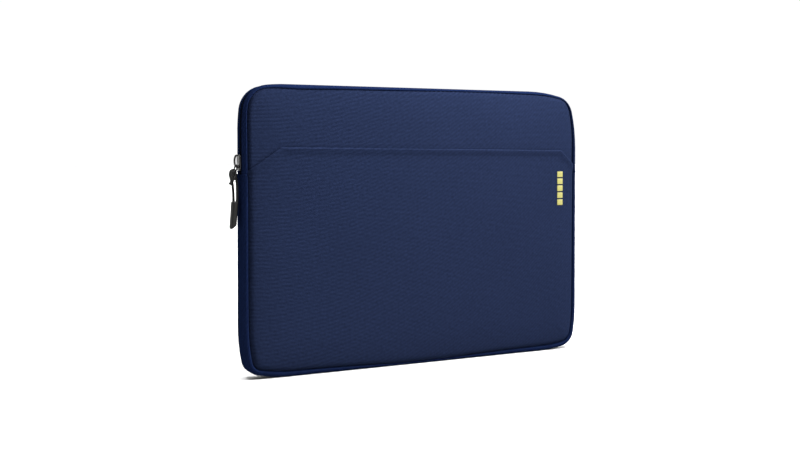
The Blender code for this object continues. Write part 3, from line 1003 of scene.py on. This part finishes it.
TOOTH_PITCH = 1.25 * MM
TEETH_START = 2.2 * MM  # above the mouth's fold, clear of the stops
TOOTH = (  # y from the slot's middle, inset and radius, in mm
    (2.5, 0.9, 0.30), (1.9, 0.55, 0.36), (0.9, 0.5, 0.36),
    (0.1, 0.5, 0.42), (-0.35, 0.62, 0.46), (-0.6, 0.75, 0.22),
)


def zip_teeth(name, side):
    """One coil's teeth: each runs from the tape to a thicker head that hooks past the middle."""
    bm = bmesh.new()
    shift = 0.0 if side < 0 else TOOTH_PITCH / 2
    stations = path_past(1, MOUTH_Z + TEETH_START)
    for point, direction, out in walk(stations, TOOTH_PITCH, lambda s: 0.0, lambda s: MM):
        start = point + direction * shift
        rings = []
        for y, inset, radius in TOOTH:
            centre = start + Vector((0, side * y * MM, 0)) - out * (inset - 0.35) * MM
            rings.append((centre, direction, out, radius * 0.9 * MM, radius * MM))
        add_rod(bm, rings, 6)
    return piece(name, bm, "zip_coil", smooth=60)


STITCH_PITCH = 4.6 * MM
STITCH = ((-1.7, 0.08), (-1.45, 0.3), (0.0, 0.36), (1.45, 0.3), (1.7, 0.08))  # along and radius, in mm


def seam_stitches(name, side):
    """The sewing that shows in the groove between a panel and the gusset."""
    bm = bmesh.new()
    up = Vector((0, 1, 0))
    stations = path_round() + path_round()[:1]
    places = walk(
        stations, STITCH_PITCH,
        lambda s: side * (groove_depth(s[0], s[1]) + 0.15 * MM), lambda s: seam_inset(s[0], s[1]),
    )
    for point, direction, out in places:
        rings = []
        for along, radius in STITCH:
            rings.append((point + direction * along * MM, out, up, radius * MM, radius * MM))
        add_rod(bm, rings, 6)
    obj = piece(name, bm, "binding_tape", smooth=60)
    obj.data.materials[0] = MATERIALS["seam_thread"]
    on_side(obj, side)


def bindings():
    """The tapes that bind the seams on the inside."""
    corners = ((7.5, 1.0), (7.5, 2.3), (6.6, 2.3), (6.6, 1.0))  # y, and how far in from the seam, in mm
    for name, side, nodes in (
        ("front_binding_tape", -1, ("front_seam_binding_lower", "front_seam_binding_upper")),
        ("back_binding_tape", 1, ("back_seam_binding",)),
    ):
        def section(station, along, length, side=side):
            seam = seam_inset(station[0], station[1])
            return [(side * y * MM, seam + inset * MM) for y, inset in corners]

        obj = band(name, "binding_tape", path_round(), section, closed_path=True, closed_section=True)
        on_side(obj, side, *nodes)


# ---- slider and pull

def smooth_through(points, between=6):
    """Points along a Catmull-Rom curve through the given points."""
    made = []
    last = len(points) - 1
    for i in range(last):
        a, b, c, d = (points[min(max(i + k, 0), last)] for k in (-1, 0, 1, 2))
        for step in range(between):
            t = step / between
            made.append(
                a * (-0.5 * t + t * t - 0.5 * t ** 3) + b * (1 - 2.5 * t * t + 1.5 * t ** 3)
                + c * (0.5 * t + 2 * t * t - 1.5 * t ** 3) + d * (-0.5 * t * t + 0.5 * t ** 3)
            )
    return made + [points[-1]]


def tube(name, slot, points, radius, closed=False):
    bm = bmesh.new()
    add_tube(bm, points, radius, closed)
    return piece(name, bm, slot, smooth=60)


TUBE_SIDES = 12


def add_tube(bm, points, radius, closed=False):
    """A round rod along the points, with weave UVs along and round it in metres. The radius is one value,
    or a list with one for each point."""
    layer = bm.loops.layers.uv.get("weave") or bm.loops.layers.uv.new("weave")
    count = len(points)
    radii = radius if isinstance(radius, (list, tuple)) else [radius] * count
    total = lengths_along(points)
    across = None
    rings = []
    for i, point in enumerate(points):
        before = points[i - 1] if closed or i else point
        after = points[(i + 1) % count] if closed or i < count - 1 else point
        direction = (after - before).normalized()
        if across is None:
            across = direction.orthogonal().normalized()
        across = (across - direction * across.dot(direction)).normalized()
        over = direction.cross(across)
        ring = []
        for k in range(TUBE_SIDES):
            angle = 2 * math.pi * k / TUBE_SIDES
            ring.append(bm.verts.new(point + (across * math.cos(angle) + over * math.sin(angle)) * radii[i]))
        rings.append(ring)
    for i in range(count if closed else count - 1):
        after_i = (i + 1) % count
        end_u = total[after_i] if after_i else total[-1] + (points[0] - points[-1]).length
        for k in range(TUBE_SIDES):
            j = (k + 1) % TUBE_SIDES
            face = bm.faces.new((rings[i][k], rings[i][j], rings[after_i][j], rings[after_i][k]))
            width = 2 * math.pi * radii[i] / TUBE_SIDES
            low_v, high_v = k * width, (k + 1) * width
            uvs = ((total[i], low_v), (total[i], high_v), (end_u, high_v), (end_u, low_v))
            for loop, uv in zip(face.loops, uvs):
                loop[layer].uv = uv
    if not closed:
        bm.faces.new(rings[0])
        bm.faces.new(rings[-1])


PLATE_ROUNDING = 0.45  # 1 would make the plate an ellipse, and 0 a square


def add_plate(bm, x_low, x_high, z, half_y, half_z, bevel):
    """A plate across X with rounded corners and rounded edges."""
    count = 32
    part = bevel * 0.3
    profile = (
        (x_low, bevel), (x_low + part, part), (x_low + bevel, 0.0),
        (x_high - bevel, 0.0), (x_high - part, part), (x_high, bevel),
    )
    rings = []
    for x, shrink in profile:
        ring = []
        for k in range(count):
            angle = 2 * math.pi * k / count
            y = squared(math.cos(angle), PLATE_ROUNDING) * (half_y - shrink)
            rise = squared(math.sin(angle), PLATE_ROUNDING) * (half_z - shrink)
            ring.append(bm.verts.new((x, y, z + rise)))
        rings.append(ring)
    skin(bm, rings)


PLATE = 1.0 * MM
PLATE_BEVEL = 0.35 * MM
POST = (0.25 * MM, 1.3 * MM, 0.1 * MM)  # half width, half height and bevel
POST_UP = 2.1 * MM
GUIDE_Y = 3.25 * MM
GUIDE = (0.75 * MM, 0.4 * MM)  # half sizes along X and Y


def slider():
    """Two plates joined by a post, with a guide down each side."""
    half_y = (SLIDER_HIGH.y - SLIDER_LOW.y) / 2
    half_z = (SLIDER_HIGH.z - SLIDER_LOW.z) / 2
    bm = bmesh.new()
    for x in (SLIDER_LOW.x, SLIDER_HIGH.x - PLATE):
        add_plate(bm, x, x + PLATE, SLIDER_Z, half_y, half_z, PLATE_BEVEL)
    add_plate(bm, SLIDER_LOW.x + PLATE / 2, SLIDER_HIGH.x - PLATE / 2, SLIDER_LOW.z + POST_UP, *POST)
    for y in (-GUIDE_Y, GUIDE_Y):
        rings = []
        for z in (0.4, 1.0, 12.0, 12.6):
            centre = Vector((SLIDER_LOW.x + 0.6 * MM, y, SLIDER_LOW.z + z * MM))
            rings.append((centre, Vector((1, 0, 0)), Vector((0, 1, 0)), *GUIDE))
        add_rod(bm, rings, 12)
    riding(piece("slider_casting", bm, "gunmetal"), "slider", "slider_body")


CROWN_UP = 1.4 * MM  # the crown sits above the middle of the slider
CROWN_STEPS = 20
STRAP = 0.8 * MM  # half the strap's thickness


def crown():
    """The bail that the link hangs in: a strap arched over the slider's outer plate."""
    low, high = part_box("slider_crown")
    width = (high.y - low.y) / 2
    rise = high.x - low.x - STRAP
    half = (high.z - low.z) / 2 - STRAP
    bm = bmesh.new()
    rings = []
    for k in range(CROWN_STEPS + 1):
        angle = math.pi * k / CROWN_STEPS
        z = SLIDER_Z + CROWN_UP + half * math.cos(angle)
        centre = Vector((high.x - rise * math.sin(angle) ** 0.7, 0, z))
        radial = Vector((-math.sin(angle) / rise, 0, math.cos(angle) / half)).normalized()
        rings.append((centre, radial, Vector((0, 1, 0)), STRAP, width))
    add_rod(bm, rings, 14)
    riding(piece("crown_strap", bm, "gunmetal", smooth=60), "slider", "slider_crown")


LINK_RADIUS = 0.65 * MM
LINK_HALF_WIDTH = 2.9 * MM
LINK_CORNER = 1.4 * MM


def link():
    """A closed wire link, rounded at its four corners."""
    pivot, end = (Vector(JOINTS[name]["pos_m"]) for name in ("link_swing", "cord_swing"))
    along = (end - pivot).normalized()
    length = (end - pivot).length
    side = LINK_HALF_WIDTH - LINK_CORNER
    near, far = LINK_CORNER, length - LINK_CORNER
    corners = ((near, side, 90), (near, -side, 180), (far, -side, 270), (far, side, 0))
    points = []
    for down, y, first in corners:
        for k in range(7):
            angle = math.radians(first + 15 * k)
            centre = pivot + along * (down + LINK_CORNER * math.cos(angle))
            points.append(centre + Vector((0, y + LINK_CORNER * math.sin(angle), 0)))
    riding(tube("wire_link", "gunmetal", points, LINK_RADIUS, closed=True), "link", "pull_link")


CORD_ROUTE = (  # up from the grip, round the hitch and back down, in mm
    (-174.7, 2.3, 148.4), (-174.8, 2.3, 152.8), (-175.2, 2.1, 158.8), (-176.0, 1.4, 163.6),
    (-177.0, 0.8, 166.2), (-177.7, 0.5, 168.4), (-177.2, 0.3, 170.1), (-175.5, 0.0, 170.8),
    (-173.9, -0.3, 170.1), (-173.3, -0.5, 168.4), (-173.1, -0.8, 166.2), (-173.0, -1.4, 163.2),
    (-173.1, -2.1, 157.8), (-173.2, -2.3, 152.8), (-173.3, -2.3, 148.4),
)
CORD_DIAMETER = 2.2 * MM
HITCH_ROUTE = (  # (x, z) of the two strands that come over the link, in mm
    (-174.9, 175.0), (-176.6, 174.6), (-177.8, 173.2), (-178.0, 170.2), (-177.0, 167.2), (-176.2, 165.2),
)
HITCH_Y = 1.15  # mm to each side of the middle
LINK_TURNS = ((-175.9, 173.4), (-175.6, 171.6))  # centres of the turns that stay with the link, in mm
CORD_TURNS = ((-175.4, 170.0), (-175.2, 167.7))
TURN_RADIUS = 1.15 * MM
TAIL = ((-176.4, 167.6, 0.9), (-177.4, 165.4, 1.15), (-178.3, 163.6, 1.3), (-178.7, 162.8, 1.25))


def add_turns(bm, centres):
    """Turns of the cord round itself."""
    for x, z in centres:
        turn = []
        for k in range(16):
            angle = 2 * math.pi * k / 16
            along, across = math.cos(angle), math.sin(angle)
            turn.append(Vector((x + 1.9 * along, 1.5 * across, z + 0.9 * along)) * MM)
        add_tube(bm, turn, TURN_RADIUS, closed=True)


def link_hitch():
    """The upper part of the hitch, which stays with the link when the cord swings."""
    bm = bmesh.new()
    for y in (-HITCH_Y, HITCH_Y):
        bight = smooth_through([Vector((x, y, z)) * MM for x, z in HITCH_ROUTE])
        add_tube(bm, bight, CORD_DIAMETER / 2 * 0.95)
    add_turns(bm, LINK_TURNS)
    riding(piece("link_hitch", bm, "black_cord", smooth=60), "link")


def cord():
    """The loop of cord, with the hitch that holds it to the link and the hitch's short tail."""
    route = smooth_through([Vector(point) * MM for point in CORD_ROUTE])
    loop = tube("cord_loop", "black_cord", route, CORD_DIAMETER / 2)
    bm = bmesh.new()
    add_turns(bm, CORD_TURNS)
    tail = [Vector((x, -0.3, z)) * MM for x, z, _ in TAIL]
    add_tube(bm, tail, [radius * MM for _, _, radius in TAIL])
    hitch = piece("cord_hitch", bm, "black_cord", smooth=60)
    riding(loop, "pull", "pull_cord")
    riding(hitch, "pull")


GRIP_HALF = (2.5 * MM, 3.9 * MM)
GRIP_ROUNDING = 0.6
GRIP_TOP = Vector((-174.5 * MM, GRIP_HIGH.z + MM))  # the middle of each end, as (x, z)
GRIP_BOTTOM = Vector((-176.1 * MM, GRIP_LOW.z))
GRIP_SLANT = 2.6 * MM  # how much higher the lower end is beside the sleeve
GRIP_LEVELS = (  # share of the way down, and how full the section is there
    (0.0, 0.72), (0.008, 0.86), (0.025, 0.95), (0.05, 1.0), (0.3, 0.98), (0.6, 0.98),
    (0.92, 1.0), (0.96, 0.96), (0.985, 0.87), (1.0, 0.7),
)


def grip():
    """The moulded grip, with its lower end cut at a slant."""
    bm = bmesh.new()
    count = 28
    rings = []
    for share, fill in GRIP_LEVELS:
        centre = GRIP_TOP.lerp(GRIP_BOTTOM, share)
        ring = []
        for k in range(count):
            angle = 2 * math.pi * k / count
            across = squared(math.cos(angle), GRIP_ROUNDING)
            over = squared(math.sin(angle), GRIP_ROUNDING)
            lift = (across + 1) / 2 * GRIP_SLANT * ease((share - 0.5) * 2)
            x = centre.x + across * GRIP_HALF[0] * fill
            ring.append(bm.verts.new((x, over * GRIP_HALF[1] * fill, centre.y + lift)))
        rings.append(ring)
    skin(bm, rings)
    riding(piece("grip_moulding", bm, "moulded_grip", smooth=50), "pull", "pull_grip")


def finish_cad(*nodes, slot):
    """Shows these CAD pieces as they are, in the slot's material."""
    for name in nodes:
        obj = frame["nodes"][name]
        obj.data.materials.clear()
        obj.data.materials.append(MATERIALS[slot])


MATERIALS = make_materials()
camera()
lights()
floor()
panels()
pocket()
mark()
gusset()
zip_half(-1)
zip_half(1)
bindings()
seam_stitches("front_seam_stitches", -1)
seam_stitches("back_seam_stitches", 1)
finish_cad("zip_stop_left", "zip_stop_right", slot="zip_coil")
slider()
crown()
link()
link_hitch()
cord()
grip()
